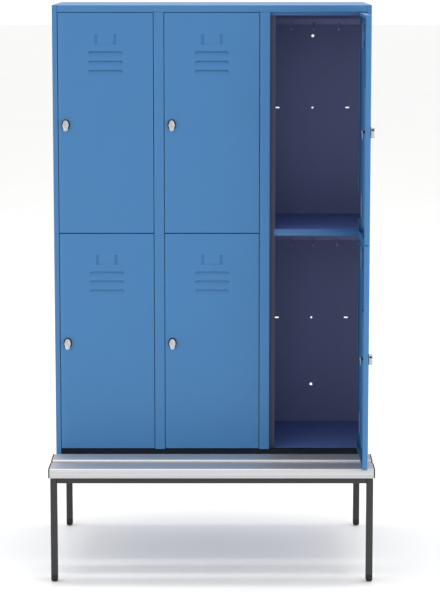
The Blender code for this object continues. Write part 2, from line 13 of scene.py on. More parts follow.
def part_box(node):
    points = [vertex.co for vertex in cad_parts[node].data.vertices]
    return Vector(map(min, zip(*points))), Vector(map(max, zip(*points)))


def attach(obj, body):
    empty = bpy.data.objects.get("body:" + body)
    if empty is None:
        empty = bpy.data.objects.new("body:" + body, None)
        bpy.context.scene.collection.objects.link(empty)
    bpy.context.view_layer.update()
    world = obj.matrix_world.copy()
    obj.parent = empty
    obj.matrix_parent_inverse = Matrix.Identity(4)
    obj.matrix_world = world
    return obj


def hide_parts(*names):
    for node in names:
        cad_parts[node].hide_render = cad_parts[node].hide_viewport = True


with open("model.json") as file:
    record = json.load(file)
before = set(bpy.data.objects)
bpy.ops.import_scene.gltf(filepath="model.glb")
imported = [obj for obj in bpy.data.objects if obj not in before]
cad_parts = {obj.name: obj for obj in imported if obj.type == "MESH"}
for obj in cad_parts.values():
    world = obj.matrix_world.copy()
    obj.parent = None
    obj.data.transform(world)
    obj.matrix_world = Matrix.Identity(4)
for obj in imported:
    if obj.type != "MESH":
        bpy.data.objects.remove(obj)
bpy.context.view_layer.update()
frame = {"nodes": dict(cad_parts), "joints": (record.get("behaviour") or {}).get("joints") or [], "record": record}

CABINET = "cabinet"
COLUMNS = ("left", "middle", "right")
TIERS = ("lower", "upper")
PLACES = [f"{tier}_{column}" for tier in TIERS for column in COLUMNS]
JOINTS = {joint["name"]: joint for joint in frame["joints"]}
SKIN = 0.0006  # how deep under a panel's outer face its colour changes
STOP = 0.0225  # from the face frame's front back to its flanges
SHARP = 35  # the angle in degrees from which an edge is shaded sharp
TINY = 1e-6
ROUND_STEPS = 10  # the steps of a large arc


# Node tools for the materials

class Shader:
    """A Principled material with short calls for the nodes that vary it."""

    def __init__(self, name, roughness, metallic=0.0, specular=0.5):
        self.material = bpy.data.materials.new(name)
        self.material.use_nodes = True
        self.nodes = self.material.node_tree.nodes
        self.links = self.material.node_tree.links
        self.surface = self.nodes["Principled BSDF"]
        self.surface.inputs["Roughness"].default_value = roughness
        self.surface.inputs["Metallic"].default_value = metallic
        self.surface.inputs["Specular IOR Level"].default_value = specular
        self.position = self.nodes.new("ShaderNodeTexCoord").outputs["Object"]

    def stretched(self, scale):
        """The position, scaled unevenly so that a pattern runs along one direction."""
        mapping = self.nodes.new("ShaderNodeMapping")
        mapping.inputs["Scale"].default_value = scale
        self.links.new(self.position, mapping.inputs["Vector"])
        return mapping.outputs["Vector"]

    def noise(self, scale, detail=2.0, along=None):
        """Cloudy noise, evenly scaled or stretched along one direction."""
        node = self.nodes.new("ShaderNodeTexNoise")
        node.inputs["Scale"].default_value = scale
        node.inputs["Detail"].default_value = detail
        self.links.new(self.position if along is None else self.stretched(along), node.inputs["Vector"])
        return node.outputs["Fac"]

    def ramp(self, value, low, high, first, last):
        """A value turned into another range between two of its levels."""
        node = self.nodes.new("ShaderNodeMapRange")
        node.inputs["From Min"].default_value = low
        node.inputs["From Max"].default_value = high
        node.inputs["To Min"].default_value = first
        node.inputs["To Max"].default_value = last
        self.links.new(value, node.inputs["Value"])
        return node.outputs["Result"]

    def mix(self, factor, first, last):
        """A colour between two colours or colour outputs."""
        node = self.nodes.new("ShaderNodeMix")
        node.data_type = "RGBA"
        self.links.new(factor, node.inputs["Factor"])
        for socket, colour in ((node.inputs[6], first), (node.inputs[7], last)):
            if isinstance(colour, tuple):
                socket.default_value = (*colour, 1)
            else:
                self.links.new(colour, socket)
        return node.outputs[2]

    def combine(self, operation, first, second):
        """A math node on two numbers or outputs."""
        node = self.nodes.new("ShaderNodeMath")
        node.operation = operation
        for socket, value in zip(node.inputs, (first, second)):
            if isinstance(value, (int, float)):
                socket.default_value = value
            else:
                self.links.new(value, socket)
        return node.outputs["Value"]

    def inner_side(self):
        """1 within the cabinet's outer skin and 0 on it."""
        _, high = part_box("top_panel")
        split = self.nodes.new("ShaderNodeSeparateXYZ")
        self.links.new(self.position, split.inputs["Vector"])
        x, _, z = split.outputs
        across = self.combine("LESS_THAN", self.combine("ABSOLUTE", x, 0.0), high.x - SKIN)
        return self.combine("MULTIPLY", across, self.combine("LESS_THAN", z, high.z - SKIN))

    def depth_test(self, operation, limit):
        """1 where Y is less or greater than a limit, and 0 elsewhere."""
        split = self.nodes.new("ShaderNodeSeparateXYZ")
        self.links.new(self.position, split.inputs["Vector"])
        return self.combine(operation, split.outputs["Y"], limit)

    def strike_strip(self):
        """1 on the strips behind the doors' free edges, which get painted shade, and 0 behind them."""
        low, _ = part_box("partition_left")
        return self.depth_test("LESS_THAN", low.y + 2 * SKIN)

    def outer_back(self):
        """1 on the back panel's outer face."""
        _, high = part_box("back_panel")
        return self.depth_test("GREATER_THAN", high.y - SKIN)

    def stop_plane(self):
        """1 on the face frame's flanges that the doors close against, which get painted shade."""
        low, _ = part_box("front_frame")
        return self.depth_test("GREATER_THAN", low.y + STOP - SKIN)

    def colour(self, output):
        self.links.new(output, self.surface.inputs["Base Color"])

    def roughness(self, output):
        self.links.new(output, self.surface.inputs["Roughness"])

    def bump(self, *layers):
        """Stacks height patterns, each given as (output, distance in metres)."""
        normal = None
        for height, distance in layers:
            node = self.nodes.new("ShaderNodeBump")
            node.inputs["Distance"].default_value = distance
            self.links.new(height, node.inputs["Height"])
            if normal is not None:
                self.links.new(normal, node.inputs["Normal"])
            normal = node.outputs["Normal"]
        self.links.new(normal, self.surface.inputs["Normal"])


def scaled(colour, factor):
    """A colour made lighter or darker."""
    return tuple(channel * factor for channel in colour)


# In the finishes each noise is (scale, detail), and each range is (low, high)

PAINT_SPREAD = 0.012
PAINT_CLOUD = (3.0, 4.0)
PAINT_CLOUD_RANGE = (0.35, 0.65)
PAINT_SMUDGE = (14.0, 5.0)
PAINT_SMUDGE_RANGE = (0.35, 0.7)
PAINT_GLOSS = (-0.02, 0.04)
PAINT_GRAIN = (1400.0, 2.0)
PAINT_PEEL = (260.0, 1.0)
PAINT_RELIEF = 0.00006


def powder_coat(name, colour, roughness, specular=0.4, panel=False, zones=()):
    """Sprayed powder paint: a fine orange peel, faint clouding and a few duller handled areas.

    A cabinet panel is slate on its inner side, and has painted shade on the strip that a door closes against.
    Each zone is a mask and the colour put there."""
    shader = Shader(name, roughness, specular=specular)
    cloud = shader.ramp(shader.noise(*PAINT_CLOUD), *PAINT_CLOUD_RANGE, 0.0, 1.0)
    paint = shader.mix(cloud, scaled(colour, 1 - PAINT_SPREAD), scaled(colour, 1 + PAINT_SPREAD))
    for mask, other in zones:
        paint = shader.mix(mask(shader), paint, other)
    if panel:
        inner = shader.inner_side()
        paint = shader.mix(inner, paint, SLATE_COLOUR)
        # Painted shade on the strike strips at the openings' edges.
        paint = shader.mix(shader.combine("MULTIPLY", inner, shader.strike_strip()), paint, STRIKE_PAINTED_SHADE)
    shader.colour(paint)
    smudge = shader.noise(*PAINT_SMUDGE)
    gloss = [roughness + change for change in PAINT_GLOSS]
    shader.roughness(shader.ramp(smudge, *PAINT_SMUDGE_RANGE, *gloss))
    shader.bump((shader.noise(*PAINT_GRAIN), PAINT_RELIEF), (shader.noise(*PAINT_PEEL), PAINT_RELIEF))
    return shader.material


DIE_LINES = (1.2, 900.0, 900.0)  # the pattern's scale in X, Y and Z
DIE_BANDS = (0.6, 120.0, 120.0)
DIE_RELIEF = 0.00004
BAND_LIGHT = 1.05
BAND_DARK = 0.90
DIE_GLOSS = (-0.06, 0.08)
NOISE_RANGE = (0.3, 0.7)


def anodised(name, colour, roughness):
    """Extruded aluminium: die lines along X under a soft anodised finish."""
    shader = Shader(name, roughness, metallic=1.0)
    lines = shader.noise(1.0, 3.0, along=DIE_LINES)
    bands = shader.ramp(shader.noise(1.0, 2.0, along=DIE_BANDS), *NOISE_RANGE, 0.0, 1.0)
    shader.colour(shader.mix(bands, scaled(colour, BAND_DARK), scaled(colour, BAND_LIGHT)))
    gloss = [roughness + change for change in DIE_GLOSS]
    shader.roughness(shader.ramp(lines, *NOISE_RANGE, *gloss))
    shader.bump((lines, DIE_RELIEF))
    return shader.material


PLASTIC_SPECULAR = 0.25
PLASTIC_CLOUD = (60.0, 3.0)
PLASTIC_GRAIN = (2600.0, 1.0)
PLASTIC_RELIEF = 0.00008
PLASTIC_LIGHTER = 1.5
PLASTIC_LIFT = 0.002


def moulded_plastic(name, colour, roughness):
    """Spark-eroded black plastic with a fine even grain."""
    shader = Shader(name, roughness, specular=PLASTIC_SPECULAR)
    light = tuple(channel * PLASTIC_LIGHTER + PLASTIC_LIFT for channel in colour)
    cloud = shader.ramp(shader.noise(*PLASTIC_CLOUD), *NOISE_RANGE, 0.0, 1.0)
    shader.colour(shader.mix(cloud, colour, light))
    shader.bump((shader.noise(*PLASTIC_GRAIN), PLASTIC_RELIEF))
    return shader.material


PLATE_SWIRL = (120.0, 3.0)
PLATE_SWIRL_RANGE = (0.35, 0.65)
PLATE_DARK = 0.86
PLATE_PRINTS = (90.0, 4.0)
PLATE_GLOSS = (-0.06, 0.12)
PLATE_GRAIN = (900.0, 2.0)
PLATE_RELIEF = 0.00003


def plated(name, colour, roughness):
    """Nickel-plated die casting: bright, with faint polishing swirls and fingerprints."""
    shader = Shader(name, roughness, metallic=1.0)
    swirl = shader.ramp(shader.noise(*PLATE_SWIRL), *PLATE_SWIRL_RANGE, 0.0, 1.0)
    shader.colour(shader.mix(swirl, scaled(colour, PLATE_DARK), colour))
    gloss = [roughness + change for change in PLATE_GLOSS]
    shader.roughness(shader.ramp(shader.noise(*PLATE_PRINTS), *NOISE_RANGE, *gloss))
    shader.bump((shader.noise(*PLATE_GRAIN), PLATE_RELIEF))
    return shader.material


SLATE_COLOUR = (0.155, 0.184, 0.354)
# Painted shade on the strike strips behind the doors' free edges.
STRIKE_PAINTED_SHADE = (0.050, 0.052, 0.090)
OUTER_SLATE = (0.050, 0.057, 0.085)
BLUE_COLOUR = (0.0352, 0.152, 0.342)
# Painted shade on the face frame's stop flanges and the rails between the tiers, set back in the recess.
SHADED_BLUE = (0.036, 0.125, 0.300)
# Painted blue bounce light: the shelves and base tray are a bluer slate than the walls.
SHELF_PAINTED_BOUNCE = (0.110, 0.172, 0.440)
SATIN = 0.42
MATT = 0.55
DULL = 0.25  # the specular level of the matt slate
BLUE = powder_coat("blue_paint", BLUE_COLOUR, SATIN)
BLUE_PANEL = powder_coat("blue_panel_paint", BLUE_COLOUR, SATIN, panel=True)
WALL = powder_coat("slate_wall_paint", SLATE_COLOUR, MATT, DULL, panel=True)
# The frame's stop flanges and middle rails get painted shade.
FRAME_BLUE = powder_coat("frame_paint", BLUE_COLOUR, SATIN, zones=[(Shader.stop_plane, SHADED_BLUE)])
SLATE = powder_coat("slate_paint", SLATE_COLOUR, MATT, DULL)
SHELF = powder_coat("slate_shelf_painted_bounce", SHELF_PAINTED_BOUNCE, MATT, DULL)
BACK = powder_coat("back_paint", SLATE_COLOUR, MATT, DULL, zones=[(Shader.outer_back, OUTER_SLATE)])
BLACK = powder_coat("black_paint", (0.003, 0.006, 0.010), MATT, specular=0.15)
GRAPHITE = powder_coat("graphite_paint", (0.029, 0.029, 0.029), 0.50, specular=0.3)
ALUMINIUM = anodised("anodised_aluminium", (0.550, 0.550, 0.560), 0.52)
PLASTIC = moulded_plastic("black_plastic", (0.008, 0.008, 0.009), 0.5)
ZINC = plated("zinc", (0.50, 0.52, 0.55), 0.28)
FINISHES = {
    "blue_paint": BLUE,
    "slate_paint": SLATE,
    "black_paint": BLACK,
    "graphite_paint": GRAPHITE,
    "anodised_aluminium": ALUMINIUM,
    "black_plastic": PLASTIC,
    "zinc": ZINC,
}


def finish_cad_nodes():
    """Gives every CAD node the detailed material of its slot, and the sheets their two-sided paints."""
    for row in frame["record"]["subparts"]:
        node = frame["nodes"][row["node"]]
        node.data.materials.clear()
        node.data.materials.append(FINISHES[row["material_slot"]])
    for name in ("side_panel_left", "side_panel_right", "top_panel"):
        frame["nodes"][name].data.materials[0] = BLUE_PANEL
    for name in ("partition_left", "partition_right"):
        frame["nodes"][name].data.materials[0] = WALL
    # The shelves and base tray get the slate with painted blue bounce light.
    for name in ["base_tray"] + [f"shelf_{column}" for column in COLUMNS]:
        frame["nodes"][name].data.materials[0] = SHELF
    frame["nodes"]["back_panel"].data.materials[0] = BACK


finish_cad_nodes()


# Mesh tools

def to_object(bm, name, material, sharp=SHARP):
    """Makes a shaded object of a bmesh, with its doubled points welded."""
    bmesh.ops.remove_doubles(bm, verts=bm.verts, dist=TINY)
    bmesh.ops.dissolve_degenerate(bm, edges=bm.edges, dist=TINY / 10)
    mesh = bpy.data.meshes.new(name)
    bm.to_mesh(mesh)
    bm.free()
    mesh.materials.append(material)
    mesh.shade_smooth()
    mesh.set_sharp_from_angle(angle=math.radians(sharp))
    obj = bpy.data.objects.new(name, mesh)
    bpy.context.scene.collection.objects.link(obj)
    return obj


def applied(obj):
    """Turns the object's modifiers into its mesh."""
    evaluated = obj.evaluated_get(bpy.context.evaluated_depsgraph_get())
    mesh = bpy.data.meshes.new_from_object(evaluated)
    obj.modifiers.clear()
    obj.data = mesh
    mesh.shade_smooth()
    mesh.set_sharp_from_angle(angle=math.radians(SHARP))
    return obj


def thickened(obj, wall, offset=-1.0, even=True):
    """Gives a surface the thickness of its sheet: below it, or on both sides at offset 0."""
    solidify = obj.modifiers.new("sheet", "SOLIDIFY")
    solidify.thickness = wall
    solidify.offset = offset
    solidify.use_even_offset = even
    return applied(obj)


def rounded(obj, width, segments=3, angle=30):
    """Rounds every edge that is sharper than an angle in degrees."""
    bevel = obj.modifiers.new("edges", "BEVEL")
    bevel.width = width
    bevel.segments = segments
    bevel.limit_method = "ANGLE"
    bevel.angle_limit = math.radians(angle)
    bevel.harden_normals = True
    return applied(obj)


def merge(obj, *others):
    """Puts other objects' meshes into this one, in world places, and removes them."""
    bm = bmesh.new()
    for piece in (obj, *others):
        mesh = piece.data.copy()
        mesh.transform(piece.matrix_basis)
        bm.from_mesh(mesh)
    mesh = bpy.data.meshes.new(obj.name)
    bm.to_mesh(mesh)
    bm.free()
    mesh.materials.append(obj.data.materials[0])
    obj.data = mesh
    obj.matrix_basis = Matrix.Identity(4)
    for piece in others:
        bpy.data.objects.remove(piece)
    mesh.shade_smooth()
    mesh.set_sharp_from_angle(angle=math.radians(SHARP))
    return obj


UPWARD = (0, 0, 1)
BACKWARD = (0, 1, 0)
BARREL_SIDES = 24
ROD_SIDES = 20


def block(low, high):
    """A bmesh box between two corners."""
    low = Vector(low)
    high = Vector(high)
    bm = bmesh.new()
    bmesh.ops.create_cube(bm, size=1)
    place = Matrix.Translation((low + high) / 2) @ Matrix.Diagonal((high - low).to_4d())
    bmesh.ops.transform(bm, matrix=place, verts=bm.verts)
    return bm


def lofted(rings):
    """A closed bmesh through rings of the same number of points."""
    bm = bmesh.new()
    rings = [[bm.verts.new(point) for point in ring] for ring in rings]
    for first, second in zip(rings, rings[1:]):
        for step in range(len(first)):
            after = (step + 1) % len(first)
            bm.faces.new((first[step], first[after], second[after], second[step]))
    bm.faces.new(reversed(rings[0]))
    bm.faces.new(rings[-1])
    bmesh.ops.recalc_face_normals(bm, faces=bm.faces)
    return bm


def turned(profile, axis, sides):
    """A bmesh turned about an axis from (distance along it, radius) points, closed at both ends."""
    angles = [2 * math.pi * step / sides for step in range(sides)]
    rings = []
    for along, radius in profile:
        rings.append([(radius * math.cos(angle), radius * math.sin(angle), along) for angle in angles])
    bm = lofted(rings)
    turn = Vector(UPWARD).rotation_difference(Vector(axis)).to_matrix().to_4x4()
    bmesh.ops.transform(bm, matrix=turn, verts=bm.verts)
    return bm


def arc(centre, radius, start, end, steps):
    """Points on an arc between two angles in degrees."""
    angles = [math.radians(start + (end - start) * i / steps) for i in range(steps + 1)]
    return [(centre[0] + radius * math.cos(a), centre[1] + radius * math.sin(a)) for a in angles]


def filleted(path, radius, steps=4):
    """A polyline with every corner between its ends turned into a curve."""
    points = [Vector(path[0])]
    for before, corner, after in zip(path, path[1:], path[2:]):
        corner = Vector(corner)
        first = (Vector(before) - corner).normalized()
        second = (Vector(after) - corner).normalized()
        half = first.angle(second) / 2
        reach = radius / math.tan(half)
        for step in range(steps + 1):
            t = step / steps
            start = corner + first * reach
            end = corner + second * reach
            points.append((1 - t) ** 2 * start + 2 * t * (1 - t) * corner + t * t * end)
    points.append(Vector(path[-1]))
    return points


AXES = {
    # extrusion direction: how a path's two numbers and the distance along become X, Y and Z
    "X": lambda a, b, along: (along, a, b),
    "Y": lambda a, b, along: (a, along, b),
    "Z": lambda a, b, along: (a, b, along),
}


def ribbon(path, axis, low, high, closed=False):
    """A bmesh strip: a path drawn in a plane and pulled along an axis, with caps if it is closed."""
    place = AXES[axis]
    bm = bmesh.new()
    near = [bm.verts.new(place(a, b, low)) for a, b in path]
    far = [bm.verts.new(place(a, b, high)) for a, b in path]
    count = len(path) if closed else len(path) - 1
    for step in range(count):
        after = (step + 1) % len(path)
        bm.faces.new((near[step], near[after], far[after], far[step]))
    if closed:
        bm.faces.new(near)
        bm.faces.new(far)
        bmesh.ops.recalc_face_normals(bm, faces=bm.faces)
    return bm


def stand_for(obj, body, slot, *nodes):
    """Attaches a detailed piece to its body and hides the CAD nodes that it replaces. The slot argument is not
    used.
    """
    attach(obj, body)
    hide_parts(*nodes)


def twin(obj, name):
    """Another object on the same mesh."""
    copy = bpy.data.objects.new(name, obj.data)
    bpy.context.scene.collection.objects.link(copy)
    return copy


# Doors: built once in a frame with the hinge axis at x = 0, y = 0 and the lower edge at z = 0

SHEET = 0.001
DOOR_DEPTH = 0.0185
DOOR_BEND = 0.0018
DOOR_LIP = 0.012
BEND_ANGLES = (30, 60, 90)
NOTCH_HALF = 0.045
HINGE_DOWN = 0.088
HINGE_UP = 0.100
KNUCKLE_HALF = 0.021  # the middle knuckle, which is the door's

first_low, first_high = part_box("door_lower_left")
first_axis = Vector(JOINTS["door_lower_left_swing"]["pos_m"])
DOOR_LEFT = first_low.x - first_axis.x
DOOR_RIGHT = first_high.x - first_axis.x
DOOR_HEIGHT = first_high.z - first_low.z
FACE = first_high.y - first_axis.y - DOOR_DEPTH
MIDDLE = (DOOR_LEFT + DOOR_RIGHT) / 2
HINGE_HEIGHTS = (HINGE_UP, DOOR_HEIGHT - HINGE_DOWN)

CARD_TOP = DOOR_HEIGHT - 0.0805
CARD_HALF = 0.0405
CARD_TALL = 0.037
CARD_SIDE = 0.011
CARD_FOOT = 0.007
CARD_DEEP = 0.0044
CARD_FOOT_DEEP = 0.0014
CARD_EDGE = 0.0026

LOUVRE_TOPS = tuple(DOOR_HEIGHT - down for down in (0.144, 0.1785, 0.213))
LOUVRE_HALF = 0.0665
LOUVRE_TALL = 0.023
LOUVRE_ROUND = 0.013
LOUVRE_END = 0.0065
LOUVRE_DEPTH = 0.0060
LOUVRE_CURVE = 1.3
LOUVRE_MARGIN = 0.004
LOUVRE_ROWS = 9
LOUVRE_OPEN = 0.3  # the share of a louvre's depth from which its upper edge is cut through

WAVE = 0.00022
WAVE_FADE = 0.06
WAVE_ACROSS = (11.0, 3.1)  # radians per metre in X and in Z
WAVE_UP = (4.0, 6.3)

GRID_ACROSS = 0.022  # the grid's widest spacing in X and in Z
GRID_UP = 0.030
GRID_CLOSE = 0.001
GRID_SAME = 0.0003  # lines closer than this are one line
CARD_GRID = 0.00095
LOUVRE_GRID = 0.0015

CHANNEL_HALF = 0.030
CHANNEL_DEEP = 0.011
CHANNEL_FLANGE = 0.012
CHANNEL_GAP = 0.0006
CHANNEL_BEND = 0.0022
CHANNEL_STOCK = 0.0009
CHANNEL_SPAN = (0.045, 0.560)
KNUCKLE_RADIUS = 0.0046
KNUCKLE_EDGE = 0.0005
LEAF_SPAN = (-0.020, -0.001)
LEAF_HALF = 0.0208
LEAF_STOCK = 0.0014
LEAF_EDGE = 0.0004


def smooth_step(value):
    """An even change from 0 to 1 with soft ends."""
    value = min(1.0, max(0.0, value))
    return value * value * (3 - 2 * value)


def stations(low, high, coarse, fine):
    """Grid lines from low to high, closed up inside the fine intervals (start, end, step)."""
    values = [low, high]
    for start, end, step in fine:
        count = max(1, round((end - start) / step))
        values += [start + (end - start) * i / count for i in range(count + 1)]
    count = round((high - low) / coarse)
    for i in range(1, count):
        value = low + (high - low) * i / count
        if not any(start - coarse / 4 < value < end + coarse / 4 for start, end, _ in fine):
            values.append(value)
    values.sort()
    kept = [values[0]]
    for value in values[1:]:
        if value - kept[-1] > GRID_SAME:
            kept.append(value)
    return kept


def card_height(x, z):
    """How far the card holder's pressed U lies below the sheet."""
    across = abs(x - MIDDLE)
    side = min(CARD_HALF - across, across - (CARD_HALF - CARD_SIDE))
    side = min(side, CARD_TOP - z, z - (CARD_TOP - CARD_TALL))
    foot = min(CARD_HALF - across, z - (CARD_TOP - CARD_TALL), CARD_TOP - CARD_TALL + CARD_FOOT - z)
    deep = CARD_DEEP * smooth_step(side / CARD_EDGE)
    return max(deep, CARD_FOOT_DEEP * smooth_step(foot / CARD_EDGE))


def louvre_drop(x):
    """How far a louvre's upper edge is below its highest point, where its ends turn down."""
    past = abs(x - MIDDLE) - (LOUVRE_HALF - LOUVRE_ROUND)
    past = min(LOUVRE_ROUND, max(0.0, past))
    return LOUVRE_ROUND - math.sqrt(LOUVRE_ROUND ** 2 - past ** 2)


def louvre_end(x):
    """The share of a louvre's depth that is left near its two ends."""
    past = abs(x - MIDDLE) - (LOUVRE_HALF - LOUVRE_END)
    return 1.0 - smooth_step(past / LOUVRE_END)


def waviness(x, z):
    """The slight unevenness of a large flat sheet, fading out towards its stiff edges."""
    edge = min(x - DOOR_LEFT, DOOR_RIGHT - x, z, DOOR_HEIGHT - z)
    across = math.sin(WAVE_ACROSS[0] * x + WAVE_ACROSS[1] * z)
    up = math.cos(WAVE_UP[0] * x + WAVE_UP[1] * z)
    return WAVE * across * up * smooth_step(edge / WAVE_FADE)


def sheet_rows():
    """The rows of the door's grid: (height, None), or (height, (louvre, share down it, pressed or not))."""
    close = GRID_CLOSE
    card_low = CARD_TOP - CARD_TALL
    fine = [
        (card_low - close, card_low + CARD_FOOT + close, close),
        (CARD_TOP - 4 * close, CARD_TOP + close, close),
    ]
    louvre_spans = [(top - LOUVRE_TALL - LOUVRE_MARGIN, top + LOUVRE_MARGIN) for top in LOUVRE_TOPS]
    fine += [(low, high, high - low) for low, high in louvre_spans]
    for height in HINGE_HEIGHTS:
        fine += [(height - NOTCH_HALF, height + NOTCH_HALF, NOTCH_HALF / 3)]
    heights = stations(DOOR_BEND, DOOR_HEIGHT - DOOR_BEND, GRID_UP, fine)
    rows = [(z, None) for z in heights if not any(low < z < high for low, high in louvre_spans)]
    for index, top in enumerate(LOUVRE_TOPS):
        rows.append((top + TINY, (index, 0.0, False)))
        for step in range(LOUVRE_ROWS):
            share = step / LOUVRE_ROWS
            rows.append((top - LOUVRE_TALL * share, (index, share, True)))
        rows.append((top - LOUVRE_TALL, (index, 1.0, False)))
    return sorted(rows, key=lambda row: row[0])


def sheet_point(x, z, louvre):
    """Where one grid point of the pressed sheet lies."""
    y = FACE + card_height(x, z) + waviness(x, z)
    if louvre is None:
        return Vector((x, y, z))
    index, share, pressed = louvre
    upper = LOUVRE_TOPS[index] - louvre_drop(x)
    lower = LOUVRE_TOPS[index] - LOUVRE_TALL
    z = upper + (lower - upper) * share
    if pressed:
        y += LOUVRE_DEPTH * louvre_end(x) * (1 - share) ** LOUVRE_CURVE
    return Vector((x, y, z))


def door_sheet(bm):
    """The pressed face of the door, as a grid with the louvres' slits left open. Returns its boundary."""
    close = GRID_CLOSE
    spans = (
        (CARD_HALF - CARD_SIDE - close, CARD_HALF + close, CARD_GRID),
        (LOUVRE_HALF - LOUVRE_ROUND - 2 * close, LOUVRE_HALF + close, LOUVRE_GRID),
    )
    fine = []
    for side in (-1, 1):
        for near, far, step in spans:
            ends = sorted((MIDDLE + side * near, MIDDLE + side * far))
            fine.append((*ends, step))
    columns = stations(DOOR_LEFT + DOOR_BEND, DOOR_RIGHT - DOOR_BEND, GRID_ACROSS, fine)
    rows = sheet_rows()
    grid = [[bm.verts.new(sheet_point(x, z, louvre)) for x in columns] for z, louvre in rows]
    for j, (below, above) in enumerate(zip(grid, grid[1:])):
        lower = rows[j][1]
        upper = rows[j + 1][1]
        slit = lower is not None and upper is not None and lower[2] and not upper[2]
        for i in range(len(columns) - 1):
            centre = (columns[i] + columns[i + 1]) / 2
            if slit and louvre_end(centre) > LOUVRE_OPEN:
                continue
            bm.faces.new((below[i], below[i + 1], above[i + 1], above[i]))
    right = [row[-1] for row in grid[1:]]
    left = [row[0] for row in reversed(grid[:-1])]
    return grid[0] + right + list(reversed(grid[-1][:-1])) + left[:-1]


def door_edges(bm, boundary):
    """The folded sides and lips, drawn round the sheet's boundary, with notches for the hinges."""
    bend = DOOR_BEND
    turns = [(math.cos(math.radians(angle)), math.sin(math.radians(angle))) for angle in BEND_ANGLES]
    profile = [(bend * sine, bend * (1 - cosine)) for cosine, sine in turns]
    profile.append((bend, DOOR_DEPTH - bend))
    profile += [(bend * cosine, DOOR_DEPTH - bend + bend * sine) for cosine, sine in turns]
    profile.append((bend - DOOR_LIP, DOOR_DEPTH))
    left, right = DOOR_LEFT + bend, DOOR_RIGHT - bend
    low, high = bend, DOOR_HEIGHT - bend
    behind_bend = len(BEND_ANGLES)  # the notches start there
    ring = boundary
    for number, (out, deep) in enumerate(profile):
        following = []
        for vertex in boundary:
            x, _, z = vertex.co
            x += out * ((x > right - TINY) - (x < left + TINY))
            z += out * ((z > high - TINY) - (z < low + TINY))
            x = min(right + out, max(left - out, x))
            z = min(high + out, max(low - out, z))
            following.append(bm.verts.new((x, FACE + deep, z)))
        for step, vertex in enumerate(boundary):
            after = (step + 1) % len(boundary)
            middle = (vertex.co + boundary[after].co) / 2
            at_hinge = any(abs(middle.z - height) < NOTCH_HALF for height in HINGE_HEIGHTS)
            if number >= behind_bend and at_hinge and middle.x > right - TINY:
                continue
            bm.faces.new((ring[after], ring[step], following[step], following[after]))
        ring = following
    return bm


def door_back_pieces():
    """What is welded behind the sheet: the stiffening channel, and the knuckles with their leaves."""
    inside = FACE + SHEET
    seat = inside + CHANNEL_GAP
    deep = inside + CHANNEL_DEEP
    left = MIDDLE - CHANNEL_HALF
    right = MIDDLE + CHANNEL_HALF
    channel = (
        (left - CHANNEL_FLANGE, seat),
        (left, seat),
        (left, deep),
        (right, deep),
        (right, seat),
        (right + CHANNEL_FLANGE, seat),
    )
    strip = ribbon(filleted(channel, CHANNEL_BEND), "Z", *CHANNEL_SPAN)
    pieces = [thickened(to_object(strip, "stiffener", BLUE), CHANNEL_STOCK, 0.0)]
    narrow = KNUCKLE_RADIUS - KNUCKLE_EDGE
    barrel = (
        (-KNUCKLE_HALF, narrow),
        (KNUCKLE_EDGE - KNUCKLE_HALF, KNUCKLE_RADIUS),
        (KNUCKLE_HALF - KNUCKLE_EDGE, KNUCKLE_RADIUS),
        (KNUCKLE_HALF, narrow),
    )
    leaf_low = (LEAF_SPAN[0], inside, -LEAF_HALF)
    leaf_high = (LEAF_SPAN[1], inside + LEAF_STOCK, LEAF_HALF)
    for height in HINGE_HEIGHTS:
        knuckle = to_object(turned(barrel, UPWARD, BARREL_SIDES), "knuckle", BLUE)
        knuckle.location.z = height
        leaf = to_object(block(leaf_low, leaf_high), "leaf", BLUE)
        leaf.location.z = height
        pieces += [knuckle, rounded(leaf, LEAF_EDGE, 2)]
    return pieces


def door_places():
    """Each door's place name and the matrix of its own frame, closed or standing open."""
    for place in PLACES:
        joint = JOINTS[f"door_{place}_swing"]
        low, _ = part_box(f"door_{place}")
        origin = Matrix.Translation((joint["pos_m"][0], joint["pos_m"][1], low.z))
        yield place, origin @ Matrix.Rotation(-math.radians(joint["range_deg"][0]), 4, "Z")


def make_doors():
    """Hangs six doors on one shared mesh."""
    bm = bmesh.new()
    door_edges(bm, door_sheet(bm))
    door = thickened(to_object(bm, "door_pattern", BLUE), SHEET, even=False)
    merge(door, *door_back_pieces())
    for place, matrix in door_places():
        leaf = twin(door, f"door_{place}_leaf")
        leaf.matrix_world = matrix
        stand_for(leaf, f"door_{place}", "blue_paint", f"door_{place}")
    bpy.data.objects.remove(door)


make_doors()


# Locks, in the door's frame with the lock's axis at x = 0, z = 0

LOCK_X = DOOR_LEFT + 0.0275
LOCK_Z = DOOR_HEIGHT - 0.418
ROSETTE = 0.0025
ROSETTE_RADIUS = 0.016
ROSETTE_OVAL = 1.28
ROSETTE_FRONT = FACE - ROSETTE
NECK = 0.0095
NUT = 0.009
NUT_RADIUS = 0.014
NUT_EDGE = 0.0008
NUT_SIDES = 6
BARREL = 0.0055
SPINDLE = 0.0038
ROSETTE_SIDES = 40
NECK_SIDES = 28
HANDLE_CORNERS = ((0.0060, -0.0225), (0.0120, 0.0), (0.0062, 0.0172))  # (x, z) up its right side
HANDLE_FILLET = 0.0065
HANDLE_FRONT = FACE - 0.0165
HANDLE_BACK = FACE - 0.0035
HANDLE_ROUND = 0.0022
EYE = ((FACE - 0.0140, FACE - 0.0050), (0.0045, 0.0105))  # its span in Y and in Z
EYE_EDGE = 0.0010
EYE_BLOCK_HALF = 0.0060
EYE_BLOCK_SEAT = 0.0002
CAM_EDGE = 0.0006
CAM = ((-0.004, 0.021, -0.024), (0.004, 0.023, 0.005))  # two opposite corners
SCREW = 0.0034
SCREW_HEAD = 0.0016


